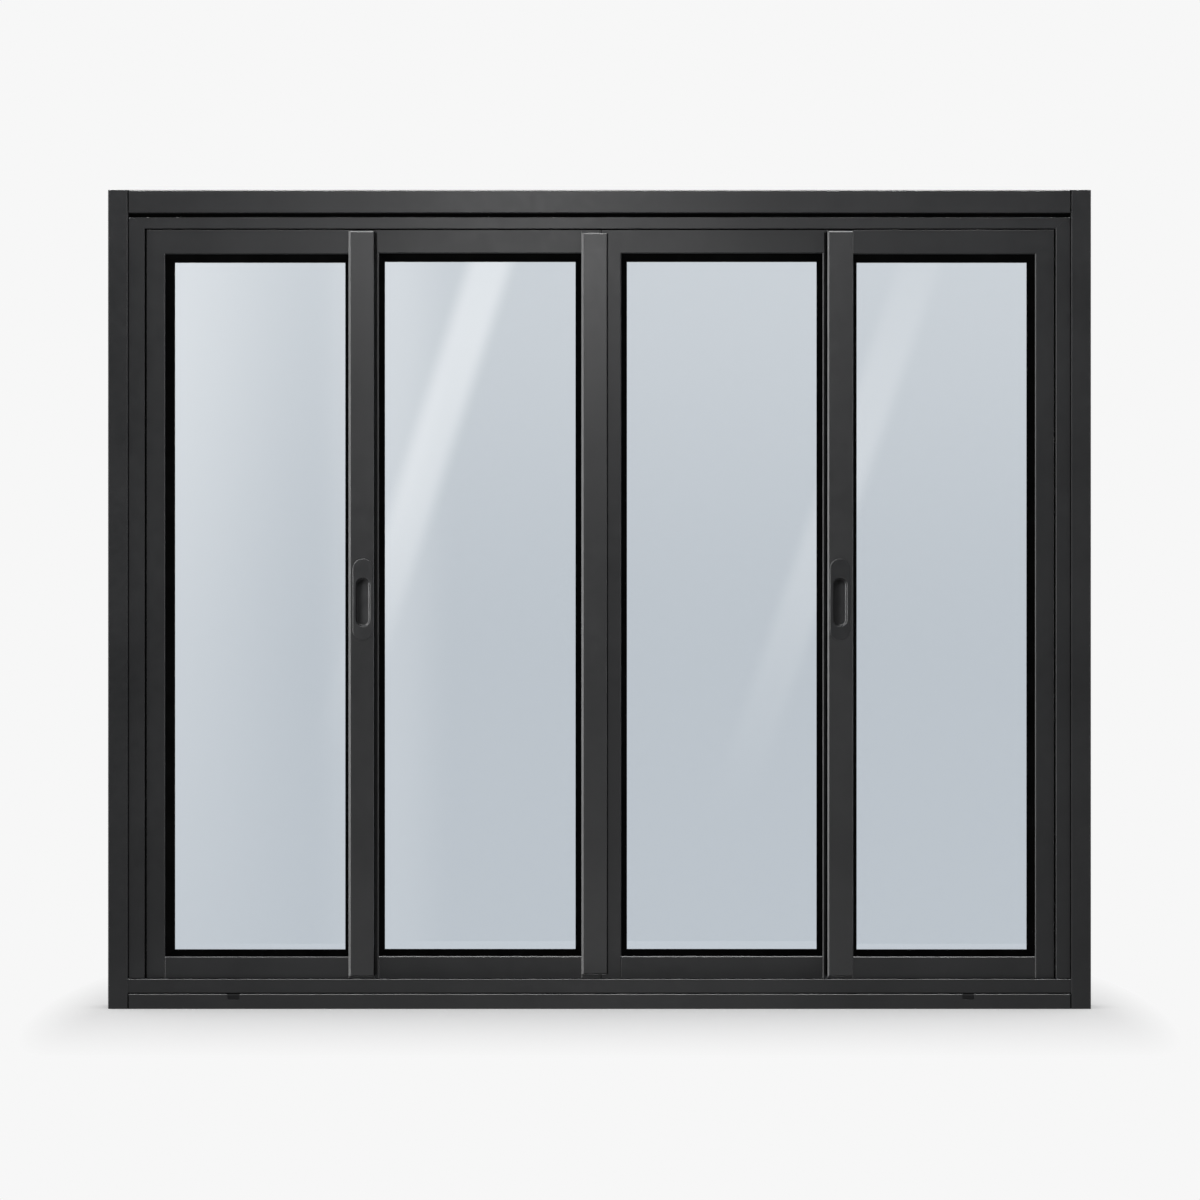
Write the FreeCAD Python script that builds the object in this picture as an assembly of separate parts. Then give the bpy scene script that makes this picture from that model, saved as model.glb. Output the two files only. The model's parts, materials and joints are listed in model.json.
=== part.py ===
import FreeCAD, Part
import os
from FreeCAD import Vector

# Horizontal sliding window with four lights in a two-track aluminium frame.
# The two outer sashes run in the front track and carry the flush pulls.
# The two middle sashes stand fixed in the rear track.
# X runs along the sill, -Y is the front, Z is up. Sizes are in millimetres.
# The origin is the centre of the sill's underside.

# Outer frame
frame_width = 1800.0
frame_height = 1500.0
jamb_face = 36.0
head_face = 42.0
sill_face = 27.2
frame_wall = 2.5
face_bevel = 0.9
head_top_bevel = 2.2

# Shadow joints where the faces of head and sill meet the jambs
joint_width = 1.4
joint_depth = 1.5
joint_bevel = 0.8

# Lips that hide the sash edges, and the fins between the tracks
lip_setback = 9.5
lip_thickness = 2.5
left_jamb_lip = 30.0
right_jamb_lip = 27.3
head_lip = 28.0
head_groove = 7.9
sill_lip = 27.2
sill_lip_setback = 5.0
fin_thickness = 3.0
fin_height = 24.0
lip_bevel = 0.8

# Roller rails on the sill and the drain notches in its face
rail_thickness = 3.0
rail_height = 20.0
rail_bevel = 0.7
weep_width = 22.5
weep_depth = 10.4
weep_corner = 3.0
weep_places = (-670.5, 675.5)

# Sash thickness and the room round it
sash_thickness = 24.0
sash_clearance = 5.0
track_gap = 18.0
sash_top_gap = 18.0
sash_bottom_gap = 14.0
jamb_pocket_gap = 11.0
side_gap = 2.6
front_top_gap = 1.6
rear_top_gap = -2.0

# Sash members
sash_wall = 1.8
sash_bevel = 1.8
tongue_thickness = 10.0
left_outer_stile = 56.0
right_outer_stile = 53.9
left_pull_stile = 46.7
right_pull_stile = 47.1
lap_stile_width = 42.4
centre_stile_width = 36.0
front_top_rail_width = 56.7
front_bottom_rail_width = 53.6
rear_top_rail_width = 52.3
rear_bottom_rail_width = 51.3
leg_thickness = 2.5
leg_depth = 28.0

# Sash places: the front sashes by their widths, the rear ones by their laps
left_sash_width = 439.2
right_sash_width = 435.0
lap_setback = 11.5
centre_joint = 3.2
centre_gap = 1.5
travel = 370.0

# Glass and the rubber round its edge
glass_thickness = 6.0
glass_bite = 5.0
glazing_groove = 10.0
groove_wall = 4.0
gasket_bite = 9.0
gasket_ledge = 2.0
gasket_lip = 1.2
gasket_left_outer = 17.4
gasket_right_outer = 14.7
gasket_left_bar = 6.2
gasket_right_bar = 7.0
gasket_rear = 10.7
gasket_top = 15.0
gasket_bottom = 12.4

# Hooks that lock the front and rear stiles together when closed
hook_thickness = 1.5
hook_reach = 13.0
hook_inset = 4.0
hook_front_lip = 16.0
hook_rear_lip = 20.0

# Proud covers over the three bars
cover_height = 7.5
cover_wall = 2.0
cover_left_bevel = 4.5
right_cover_left_bevel = 3.2
cover_right_bevel = 1.2
cover_end_bevel = 1.5
centre_cover_width = 47.6

# Flush pulls
pull_height = 750.0
left_pull_inset = 26.6
right_pull_inset = 24.2
pull_length = 150.0
pull_width = 38.0
pull_plate = 2.0
pull_edge = 1.4
bowl_length = 88.6
bowl_width = 24.6
bowl_depth = 12.5
bowl_drop = 5.0
bowl_wall = 1.5
bowl_scoop = 8.0
bowl_rim = 1.6
pocket_clearance = 0.5

# Rollers, setting blocks and stops
roller_radius = 11.0
roller_width = 9.0
roller_groove = 3.0
axle_size = 5.0
running_gap = 0.3
roller_inset = 70.0
block_length = 60.0
stop_height = 22.0
stop_width = 22.0
panel_stop_length = 40.0

# Levels and planes that follow from the sizes above
half_width = frame_width / 2
jamb_inner = half_width - jamb_face
left_lip_edge = jamb_inner - left_jamb_lip
right_lip_edge = jamb_inner - right_jamb_lip
head_under = frame_height - head_face
head_lip_edge = head_under - head_lip
head_lip_top = head_under - head_groove
sill_lip_top = sill_face + sill_lip
sill_fin_top = sill_face + fin_height
head_fin_edge = head_under - fin_height
rail_top = sill_face + rail_height
half_sash = sash_thickness / 2
track_y = track_gap / 2 + half_sash
lip_back = track_y + half_sash + sash_clearance
lip_front = lip_back + lip_thickness
front_face = lip_front + lip_setback
sill_lip_front = front_face - sill_lip_setback
sash_top = head_under - sash_top_gap
sash_bottom = sill_face + sash_bottom_gap
channel_ceiling = sash_bottom + leg_depth
half_channel = half_sash - leg_thickness
half_tongue = tongue_thickness / 2
half_groove = half_sash - groove_wall
half_glass = glass_thickness / 2
cover_bottom = sill_lip_top + sash_clearance
cover_top = head_lip_edge - sash_clearance

# Edges of the four sashes along X
left_outer = -(jamb_inner - jamb_pocket_gap)
left_inner = left_outer + left_sash_width
right_outer = jamb_inner - jamb_pocket_gap
right_inner = right_outer - right_sash_width
left_cover_edge = left_inner - left_pull_stile
right_cover_edge = right_inner + right_pull_stile
rear_left = left_cover_edge + lap_setback
rear_right = right_cover_edge - lap_setback

FRONT = -1
REAR = 1


def block(x0, x1, y0, y1, z0, z1):
    low = Vector(min(x0, x1), min(y0, y1), min(z0, z1))
    return Part.makeBox(abs(x1 - x0), abs(y1 - y0), abs(z1 - z0), low)


def outline(points):
    # A corner given as (u, v, c) is bevelled by c along both of its edges.
    corners = []
    for index, point in enumerate(points):
        here = Vector(point[0], point[1], 0)
        if len(point) == 2:
            corners.append(here)
            continue
        before = Vector(points[index - 1][0], points[index - 1][1], 0)
        follow = points[(index + 1) % len(points)]
        after = Vector(follow[0], follow[1], 0)
        corners.append(here + (before - here).normalize() * point[2])
        corners.append(here + (after - here).normalize() * point[2])
    return corners


def prism(points, place, along):
    # place turns the flat (u, v) of the outline into a point in space.
    corners = [place(corner.x, corner.y) for corner in outline(points)]
    face = Part.Face(Part.makePolygon(corners + corners[:1]))
    return face.extrude(along)


def along_x(points, x0, x1):
    # An outline of (y, z) pairs, run from x0 to x1.
    return prism(points, lambda u, v: Vector(x0, u, v), Vector(x1 - x0, 0, 0))


def along_y(points, y0, y1):
    # An outline of (x, z) pairs, run from y0 to y1.
    return prism(points, lambda u, v: Vector(u, y0, v), Vector(0, y1 - y0, 0))


def along_z(points, z0, z1):
    # An outline of (x, y) pairs, run from z0 to z1.
    return prism(points, lambda u, v: Vector(u, v, z0), Vector(0, 0, z1 - z0))


def capsule(centre_x, centre_z, length, width, y0, y1):
    # An upright slot with round ends, run from y0 to y1.
    radius = width / 2
    rise = length / 2 - radius
    top = Vector(centre_x, y0, centre_z + rise + radius)
    bottom = Vector(centre_x, y0, centre_z - rise - radius)
    corners = []
    for side, end in ((-1, -1), (-1, 1), (1, 1), (1, -1)):
        corners.append(Vector(centre_x + side * radius, y0, centre_z + end * rise))
    edges = [
        Part.LineSegment(corners[0], corners[1]),
        Part.Arc(corners[1], top, corners[2]),
        Part.LineSegment(corners[2], corners[3]),
        Part.Arc(corners[3], bottom, corners[0]),
    ]
    wire = Part.Wire([edge.toShape() for edge in edges])
    return Part.Face(wire).extrude(Vector(0, y1 - y0, 0))


def mirrored_in_x(shape):
    return shape.mirror(Vector(0, 0, 0), Vector(1, 0, 0))


def mirrored_in_y(shape):
    return shape.mirror(Vector(0, 0, 0), Vector(0, 1, 0))


def frame_box(low, high, high_bevel=face_bevel):
    # The hollow bar behind each face of the frame, as (u, y) outlines of its
    # skin and of its two chambers, with a web between the chambers.
    skin = [
        (low, -front_face, face_bevel),
        (high, -front_face, high_bevel),
        (high, front_face, high_bevel),
        (low, front_face, face_bevel),
    ]
    chambers = []
    for side in (FRONT, REAR):
        near = side * frame_wall / 2
        far = side * (front_face - frame_wall)
        chambers.append([
            (low + frame_wall, near),
            (high - frame_wall, near),
            (high - frame_wall, far),
            (low + frame_wall, far),
        ])
    return skin, chambers


def joint_groove(side, low, high):
    # The shadow joint at one end of the head or sill, from low to high.
    over = 1.0
    groove_edge = jamb_inner - joint_width
    return along_z([
        (side * (jamb_inner + over), -front_face - over),
        (side * (groove_edge - joint_bevel - over), -front_face - over),
        (side * groove_edge, -front_face + joint_bevel),
        (side * groove_edge, -front_face + joint_depth),
        (side * (jamb_inner + over), -front_face + joint_depth),
    ], low, high)


def jamb_left(lip_edge):
    skin, chambers = frame_box(-half_width, -jamb_inner)
    jamb = along_z(skin, 0, frame_height)
    for chamber in chambers:
        jamb = jamb.cut(along_z(chamber, 0, frame_height))
    # Each lip stands on the sill and is mitred with the head's lip on top.
    mitre = head_lip_top - head_lip_edge
    lip_outline = [
        (-jamb_inner, sill_face),
        (-lip_edge, sill_face),
        (-lip_edge, head_lip_edge),
        (-lip_edge - mitre, head_lip_top),
        (-jamb_inner, head_lip_top),
    ]
    lip = along_y(lip_outline, -lip_front, -lip_back)
    fin = block(-jamb_inner, -jamb_inner + fin_height, -fin_thickness / 2, fin_thickness / 2,
                sill_fin_top, head_fin_edge)
    return jamb.fuse([lip, mirrored_in_y(lip), fin]).removeSplitter()


def head():
    skin, chambers = frame_box(head_under, frame_height, head_top_bevel)
    skin = [(corner[1], corner[0], corner[2]) for corner in skin]
    bar = along_x(skin, -jamb_inner, jamb_inner)
    for chamber in chambers:
        bar = bar.cut(along_x([(y, z) for z, y in chamber], -jamb_inner, jamb_inner))
    # A joggle sets a dark groove between the face and the lip below it.
    mitre = head_lip_top - head_lip_edge
    lip_outline = [
        (-left_lip_edge, head_lip_edge),
        (right_lip_edge, head_lip_edge),
        (right_lip_edge + mitre, head_lip_top),
        (-left_lip_edge - mitre, head_lip_top),
    ]
    lip = along_y(lip_outline, -lip_front, -lip_back)
    neck = track_y + half_tongue
    joggle = along_x([
        (-lip_back, head_lip_top),
        (-lip_back, head_lip_top - lip_thickness),
        (-neck, head_lip_top - lip_thickness),
        (-neck, head_under),
        (-neck - lip_thickness, head_under),
        (-neck - lip_thickness, head_lip_top),
    ], -jamb_inner, jamb_inner)
    fin = block(-jamb_inner, jamb_inner, -fin_thickness / 2, fin_thickness / 2,
                head_fin_edge, head_under)
    front_parts = [lip, joggle]
    rear_parts = [mirrored_in_y(part) for part in front_parts]
    bar = bar.fuse(front_parts + rear_parts + [fin]).removeSplitter()
    for side in (-1, 1):
        bar = bar.cut(joint_groove(side, head_under, frame_height))
    return bar


def weep_notch(centre):
    # A notch in the top edge of the sill's face, with rounded lower corners.
    bottom = sill_face - weep_depth
    notch = block(centre - weep_width / 2, centre + weep_width / 2,
                  -front_face - frame_wall, -sill_lip_front,
                  bottom, sill_face + frame_wall)
    lower = [edge for edge in notch.Edges
             if abs(edge.Vertexes[0].X - edge.Vertexes[1].X) < 0.001
             and all(abs(vertex.Z - bottom) < 0.001 for vertex in edge.Vertexes)]
    return notch.makeFillet(weep_corner, lower)


def sill():
    skin, chambers = frame_box(0, sill_face)
    skin = [(corner[1], corner[0], corner[2]) for corner in skin]
    bar = along_x(skin, -jamb_inner, jamb_inner)
    for chamber in chambers:
        bar = bar.cut(along_x([(y, z) for z, y in chamber], -jamb_inner, jamb_inner))
    lip = along_x([
        (-sill_lip_front, sill_face),
        (-sill_lip_front, sill_lip_top, lip_bevel),
        (-sill_lip_front + lip_thickness, sill_lip_top, lip_bevel),
        (-sill_lip_front + lip_thickness, sill_face),
    ], -jamb_inner, jamb_inner)
    rail = along_x([
        (-track_y - rail_thickness / 2, sill_face),
        (-track_y - rail_thickness / 2, rail_top, rail_bevel),
        (-track_y + rail_thickness / 2, rail_top, rail_bevel),
        (-track_y + rail_thickness / 2, sill_face),
    ], -jamb_inner, jamb_inner)
    fin = block(-jamb_inner, jamb_inner, -fin_thickness / 2, fin_thickness / 2,
                sill_face, sill_fin_top)
    bar = bar.fuse([lip, mirrored_in_y(lip), rail, mirrored_in_y(rail), fin]).removeSplitter()
    for side, place in zip((-1, 1), weep_places):
        bar = bar.cut(weep_notch(place))
        bar = bar.cut(joint_groove(side, 0, sill_face))
    return bar


def member_outlines(width, face):
    # Skin and chamber of a sash member as (a, y) pairs. a is measured from the
    # glass line outwards, and the glazing groove opens towards the glass.
    # Past face the member narrows to a tongue that runs in the frame.
    skin = [
        (0, -half_sash, sash_bevel),
        (face, -half_sash, lip_bevel),
    ]
    inner = [
        (glazing_groove + sash_wall, -half_sash + sash_wall),
        (face - sash_wall, -half_sash + sash_wall),
    ]
    if face < width:
        skin += [
            (face, -half_tongue),
            (width, -half_tongue),
            (width, half_tongue),
            (face, half_tongue),
        ]
        inner += [
            (face - sash_wall, -half_tongue + sash_wall),
            (width - sash_wall, -half_tongue + sash_wall),
            (width - sash_wall, half_tongue - sash_wall),
            (face - sash_wall, half_tongue - sash_wall),
        ]
    skin += [
        (face, half_sash, lip_bevel),
        (0, half_sash, sash_bevel),
        (0, half_groove),
        (glazing_groove, half_groove),
        (glazing_groove, -half_groove),
        (0, -half_groove),
    ]
    inner += [
        (face - sash_wall, half_sash - sash_wall),
        (glazing_groove + sash_wall, half_sash - sash_wall),
    ]
    return skin, inner


def moved(points, along, across):
    # Carry (a, y) outline points to the member's place, keeping bevels.
    return [(along(point[0]), across(point[1])) + tuple(point[2:]) for point in points]


class Sash:
    # One glazed sash: its track, its outer edges, the widths of its stiles
    # and of its rails (bottom, top), and how far its rubber covers the glass.

    def __init__(self, track, left, right, left_width, right_width, rails, gaskets,
                 left_face=None, right_face=None, left_mitred=True, right_mitred=True):
        self.centre = track * track_y
        self.top_gap = front_top_gap if track == FRONT else rear_top_gap
        self.bottom_line = sash_bottom + rails[0]
        self.top_line = sash_top - rails[1]
        self.left = left
        self.right = right
        self.left_line = left + left_width
        self.right_line = right - right_width
        self.left_width = left_width
        self.right_width = right_width
        self.left_face = left_face or left_width
        self.right_face = right_face or right_width
        self.left_mitred = left_mitred
        self.right_mitred = right_mitred
        self.gaskets = gaskets

    def across(self, y):
        return self.centre + y

    def mitre_zone(self, side, upper):
        # The half-space above or below the mitre that runs up and outwards
        # at 45 degrees from the top corner of the glass.
        corner_x = self.left_line if side < 0 else self.right_line
        reach = 2 * left_outer_stile
        far = (corner_x + side * reach, self.top_line + reach)
        if upper:
            points = [(corner_x, self.top_line), far, (corner_x, self.top_line + reach)]
        else:
            points = [(corner_x, self.top_line), far,
                      (corner_x + side * reach, self.top_line - reach),
                      (corner_x, self.top_line - reach)]
        return along_y(points, self.centre - sash_thickness, self.centre + sash_thickness)

    def stile(self, side):
        width = self.left_width if side < 0 else self.right_width
        face = self.left_face if side < 0 else self.right_face
        line = self.left_line if side < 0 else self.right_line
        mitred = self.left_mitred if side < 0 else self.right_mitred
        skin, inner = member_outlines(width, face)
        run = lambda a: line + side * a
        bar = along_z(moved(skin, run, self.across), sash_bottom, sash_top)
        bar = bar.cut(along_z(moved(inner, run, self.across), sash_bottom, sash_top))
        # The foot is notched over the roller rail.
        notch = block(line, line + side * width,
                      self.centre - half_channel, self.centre + half_channel,
                      sash_bottom, rail_top + sash_clearance)
        bar = bar.cut(notch)
        if mitred:
            bar = bar.cut(self.mitre_zone(side, True))
        return bar

    def top_rail(self):
        face = head_lip_edge - self.top_gap - self.top_line
        skin, inner = member_outlines(sash_top - self.top_line, face)
        rise = lambda a: self.top_line + a
        start = self.left if self.left_mitred else self.left_line
        end = self.right if self.right_mitred else self.right_line
        swap = lambda points: [(p[1], p[0]) + tuple(p[2:]) for p in points]
        bar = along_x(swap(moved(skin, rise, self.across)), start, end)
        bar = bar.cut(along_x(swap(moved(inner, rise, self.across)), start, end))
        for side, mitred in ((-1, self.left_mitred), (1, self.right_mitred)):
            if not mitred:
                continue
            bar = bar.cut(self.mitre_zone(side, False))
            # Beside a tongued stile the face stops level with the stile's face.
            edge = self.left if side < 0 else self.right
            line = self.left_line if side < 0 else self.right_line
            face_width = self.left_face if side < 0 else self.right_face
            face_end = line + side * face_width
            if abs(face_end - edge) < 0.001:
                continue
            for skin_side in (FRONT, REAR):
                bar = bar.cut(block(face_end, edge,
                                    self.centre + skin_side * half_tongue,
                                    self.centre + skin_side * half_sash,
                                    self.top_line, sash_top))
        return bar

    def bottom_rail(self):
        # Chamber above, and below it an open channel for rollers or blocks.
        skin = [
            (-half_sash, self.bottom_line, sash_bevel),
            (-half_sash, sash_bottom),
            (-half_channel, sash_bottom),
            (-half_channel, channel_ceiling),
            (half_channel, channel_ceiling),
            (half_channel, sash_bottom),
            (half_sash, sash_bottom),
            (half_sash, self.bottom_line, sash_bevel),
            (half_groove, self.bottom_line),
            (half_groove, self.bottom_line - glazing_groove),
            (-half_groove, self.bottom_line - glazing_groove),
            (-half_groove, self.bottom_line),
        ]
        ceiling = self.bottom_line - glazing_groove - sash_wall
        floor = channel_ceiling + sash_wall
        inner = [
            (-half_sash + sash_wall, ceiling),
            (-half_sash + sash_wall, floor),
            (half_sash - sash_wall, floor),
            (half_sash - sash_wall, ceiling),
        ]
        place = lambda points: [(self.across(p[0]),) + tuple(p[1:]) for p in points]
        bar = along_x(place(skin), self.left_line, self.right_line)
        return bar.cut(along_x(place(inner), self.left_line, self.right_line))

    def glass(self):
        return block(self.left_line - glass_bite, self.right_line + glass_bite,
                     self.centre - half_glass, self.centre + half_glass,
                     self.bottom_line - glass_bite, self.top_line + glass_bite)

    def window_wire(self, insets, y):
        # The rectangle left open by the rubber at depth y.
        left, right, bottom, top = insets
        corners = [
            Vector(self.left_line + left, y, self.bottom_line + bottom),
            Vector(self.right_line - right, y, self.bottom_line + bottom),
            Vector(self.right_line - right, y, self.top_line - top),
            Vector(self.left_line + left, y, self.top_line - top),
        ]
        return Part.makePolygon(corners + corners[:1])

    def gasket(self):
        ring = block(self.left_line - gasket_bite, self.right_line + gasket_bite,
                     self.centre - half_groove, self.centre + half_groove,
                     self.bottom_line - gasket_bite, self.top_line + gasket_bite)
        # On both faces the rubber slopes from a ledge at the bar to a thin
        # lip that lies on the glass.
        for side in (FRONT, REAR):
            outer = self.centre + side * half_groove
            lip = self.centre + side * (half_glass + gasket_lip)
            wide = [min(gasket_ledge, inset / 2) for inset in self.gaskets]
            slope = Part.makeLoft([self.window_wire(wide, outer),
                                   self.window_wire(self.gaskets, lip)], True, True)
            ring = ring.cut(slope)
        opening = Part.Face(self.window_wire(self.gaskets, self.centre - half_groove))
        ring = ring.cut(opening.extrude(Vector(0, 2 * half_groove, 0)))
        return ring.cut(self.glass())

    def roller_places(self):
        return (self.left_line + roller_inset, self.right_line - roller_inset)

    def rollers(self):
        # Waisted wheels on the sill's rail. Each turns on a square pin that
        # reaches from leg to leg of the bottom rail.
        waist_radius = roller_radius - roller_groove
        centre_z = rail_top + running_gap + waist_radius
        half = roller_width / 2
        half_pin = axle_size / 2
        profile = [
            (0, -half), (roller_radius, -half), (waist_radius, -rail_thickness / 2),
            (waist_radius, rail_thickness / 2), (roller_radius, half), (0, half),
        ]
        wheels = []
        for x in self.roller_places():
            corners = [Vector(x, self.centre + y, centre_z + r) for r, y in profile]
            face = Part.Face(Part.makePolygon(corners + corners[:1]))
            wheel = face.revolve(Vector(x, self.centre, centre_z), Vector(0, 1, 0), 360)
            pin = block(x - half_pin, x + half_pin, self.centre - half_channel,
                        self.centre + half_channel, centre_z - half_pin, centre_z + half_pin)
            wheels.append(wheel.fuse(pin))
        return Part.makeCompound(wheels)

    def setting_blocks(self):
        # Blocks that carry a fixed sash on the sill's rail.
        blocks = []
        for x in self.roller_places():
            blocks.append(block(x - block_length / 2, x + block_length / 2,
                                self.centre - half_channel, self.centre + half_channel,
                                rail_top, channel_ceiling))
        return Part.makeCompound(blocks)


def hook(root_x, direction, root_y, outward, lip_length):
    # A thin fin that stands on a stile and turns along X into a lip.
    tip_y = root_y + outward * hook_reach
    lip_y = tip_y - outward * hook_thickness
    far_x = root_x + direction * lip_length
    fin_x = root_x + direction * hook_thickness
    points = [
        (root_x, root_y), (root_x, tip_y), (far_x, tip_y), (far_x, lip_y),
        (fin_x, lip_y), (fin_x, root_y),
    ]
    return along_z(points, cover_bottom, cover_top)


def cover(x0, x1, seat_y, left_bevel=cover_left_bevel):
    # A cap with a wide bevel on its left edge, a narrow one on its right edge
    # and bevelled ends, open at the back.
    front = seat_y - cover_height
    cap = along_z([
        (x0, seat_y),
        (x0, front, left_bevel),
        (x1, front, cover_right_bevel),
        (x1, seat_y),
    ], cover_bottom, cover_top)
    ends = [
        [(front, cover_bottom), (front + cover_end_bevel, cover_bottom),
         (front, cover_bottom + cover_end_bevel)],
        [(front, cover_top), (front + cover_end_bevel, cover_top),
         (front, cover_top - cover_end_bevel)],
    ]
    for end in ends:
        cap = cap.cut(along_x(end, x0, x1))
    hollow = along_z([
        (x0 + cover_wall, seat_y),
        (x0 + cover_wall, front + cover_wall, left_bevel - cover_wall / 2),
        (x1 - cover_wall, front + cover_wall),
        (x1 - cover_wall, seat_y),
    ], cover_bottom, cover_top)
    return cap.cut(hollow)


def pull(centre_x, face_y):
    # A flush pull: a thin plate on the cover, and a scooped bowl behind it.
    plate_front = face_y - pull_plate
    bowl_z = pull_height - bowl_drop
    plate = capsule(centre_x, pull_height, pull_length, pull_width, plate_front, face_y)
    rim = [edge for edge in plate.Edges
           if all(abs(vertex.Y - plate_front) < 0.001 for vertex in edge.Vertexes)]
    plate = plate.makeChamfer(pull_edge, rim)
    shell = capsule(centre_x, bowl_z, bowl_length + 2 * bowl_wall, bowl_width + 2 * bowl_wall,
                    face_y, plate_front + bowl_depth + bowl_wall)
    scoop = capsule(centre_x, bowl_z, bowl_length, bowl_width, plate_front, plate_front + bowl_depth)
    floor = [edge for edge in scoop.Edges
             if all(abs(vertex.Y - plate_front - bowl_depth) < 0.001 for vertex in edge.Vertexes)]
    scoop = scoop.makeFillet(bowl_scoop, floor)
    body = plate.fuse(shell).removeSplitter().cut(scoop)
    lip = [edge for edge in body.Edges
           if all(abs(vertex.Y - plate_front) < 0.001 for vertex in edge.Vertexes)
           and edge.BoundBox.ZLength < bowl_length + 0.001
           and abs(edge.BoundBox.Center.z - bowl_z) < bowl_length / 2 + 0.001
           and edge.BoundBox.XMax < centre_x + bowl_width / 2 + 0.001
           and edge.BoundBox.XMin > centre_x - bowl_width / 2 - 0.001]
    return body.makeChamfer(bowl_rim, lip) if lip else body


def pull_pocket(centre_x, front_y):
    # The slot through cover and stile that takes the bowl of the pull.
    spare = 2 * (bowl_wall + pocket_clearance)
    depth = bowl_depth + bowl_wall + pocket_clearance
    return capsule(centre_x, pull_height - bowl_drop, bowl_length + spare, bowl_width + spare,
                   front_y - pull_plate, front_y - pull_plate + depth)


def rail_saddle(x0, x1, track):
    # A block astride a roller rail, standing on the floor of the track.
    centre = track * track_y
    half = stop_width / 2
    body = block(x0, x1, centre - half, centre + half, sill_face, sill_face + stop_height)
    return body.cut(block(x0, x1, centre - rail_thickness / 2, centre + rail_thickness / 2,
                          sill_face, rail_top))


left_insets = (gasket_left_outer, gasket_left_bar, gasket_bottom, gasket_top)
right_insets = (gasket_right_bar, gasket_right_outer, gasket_bottom, gasket_top)
rear_insets = (gasket_rear, gasket_rear, gasket_bottom, gasket_top)
front_rails = (front_bottom_rail_width, front_top_rail_width)
rear_rails = (rear_bottom_rail_width, rear_top_rail_width)
left_outer_face = left_outer_stile + left_outer + left_lip_edge - side_gap
right_outer_face = right_outer_stile - right_outer + right_lip_edge - side_gap

sashes = {
    "left_sash": Sash(FRONT, left_outer, left_inner, left_outer_stile, left_pull_stile,
                      front_rails, left_insets, left_face=left_outer_face, right_mitred=False),
    "right_sash": Sash(FRONT, right_inner, right_outer, right_pull_stile, right_outer_stile,
                       front_rails, right_insets, right_face=right_outer_face, left_mitred=False),
    "centre_left_sash": Sash(REAR, rear_left, centre_joint - centre_gap / 2, lap_stile_width,
                             centre_stile_width, rear_rails, rear_insets, right_mitred=False),
    "centre_right_sash": Sash(REAR, centre_joint + centre_gap / 2, rear_right, centre_stile_width,
                              lap_stile_width, rear_rails, rear_insets),
}

nodes = {
    "frame_head": head(),
    "frame_sill": sill(),
    "frame_jamb_left": jamb_left(left_lip_edge),
    "frame_jamb_right": mirrored_in_x(jamb_left(right_lip_edge)),
}

for name, sash in sashes.items():
    nodes[name + "_top_rail"] = sash.top_rail()
    nodes[name + "_bottom_rail"] = sash.bottom_rail()
    nodes[name + "_left_stile"] = sash.stile(-1)
    nodes[name + "_right_stile"] = sash.stile(1)
    nodes[name + "_glass"] = sash.glass()
    nodes[name + "_gasket"] = sash.gasket()

# Hooks on the lapping stiles. The front ones point away from the travel.
front_back = -track_y + half_sash
rear_front = track_y - half_sash
for side, front_node, rear_node, inner, lap in (
        (-1, "left_sash_right_stile", "centre_left_sash_left_stile", left_inner, rear_left),
        (1, "right_sash_left_stile", "centre_right_sash_right_stile", right_inner, rear_right)):
    front_hook = hook(inner + side * hook_inset, side, front_back, 1, hook_front_lip)
    rear_hook = hook(lap - side * hook_inset, -side, rear_front, -1, hook_rear_lip)
    nodes[front_node] = nodes[front_node].fuse(front_hook).removeSplitter()
    nodes[rear_node] = nodes[rear_node].fuse(rear_hook).removeSplitter()

# Covers and pulls on the two sliding sashes
front_seat = -track_y - half_sash
pulls = (
    ("left_sash", "left_sash_right_stile", left_cover_edge, left_inner,
     left_cover_edge + left_pull_inset, cover_left_bevel),
    ("right_sash", "right_sash_left_stile", right_inner, right_cover_edge,
     right_cover_edge - right_pull_inset, right_cover_left_bevel),
)
for name, stile, x0, x1, middle, left_bevel in pulls:
    face_y = front_seat - cover_height
    pocket = pull_pocket(middle, face_y)
    nodes[name + "_cover"] = cover(x0, x1, front_seat, left_bevel).cut(pocket)
    nodes[stile] = nodes[stile].cut(pocket)
    nodes[name + "_pull"] = pull(middle, face_y)
    nodes[name + "_rollers"] = sashes[name].rollers()

# The centre cover sits on the left one of the two fixed sashes and laps the joint.
centre_left_edge = centre_joint - centre_gap / 2 - centre_stile_width
nodes["centre_cover"] = cover(centre_left_edge, centre_left_edge + centre_cover_width,
                              track_y - half_sash)
for name in ("centre_left_sash", "centre_right_sash"):
    nodes[name + "_blocks"] = sashes[name].setting_blocks()

# Stops on the roller rails: one for the sliding sashes, two for the fixed ones
nodes["travel_stop"] = rail_saddle(left_inner + travel + sash_clearance,
                                   right_inner - travel - sash_clearance, FRONT)
nodes["panel_stops"] = Part.makeCompound([
    rail_saddle(rear_left - panel_stop_length, rear_left, REAR),
    rail_saddle(rear_right, rear_right + panel_stop_length, REAR),
])

os.makedirs("parts", exist_ok=True)
for name, shape in nodes.items():
    if not shape.isValid() or not shape.Solids:
        raise ValueError("bad solid: " + name)
    if shape.ShapeType == "Compound" and len(shape.Solids) == 1:
        shape = shape.Solids[0]
    shape.exportStep("parts/" + name + ".step")
    box = shape.BoundBox
    print(name, len(shape.Solids), round(shape.Volume / 1000.0, 1),
          [round(v, 1) for v in (box.XMin, box.XMax, box.YMin, box.YMax, box.ZMin, box.ZMax)])
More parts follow.
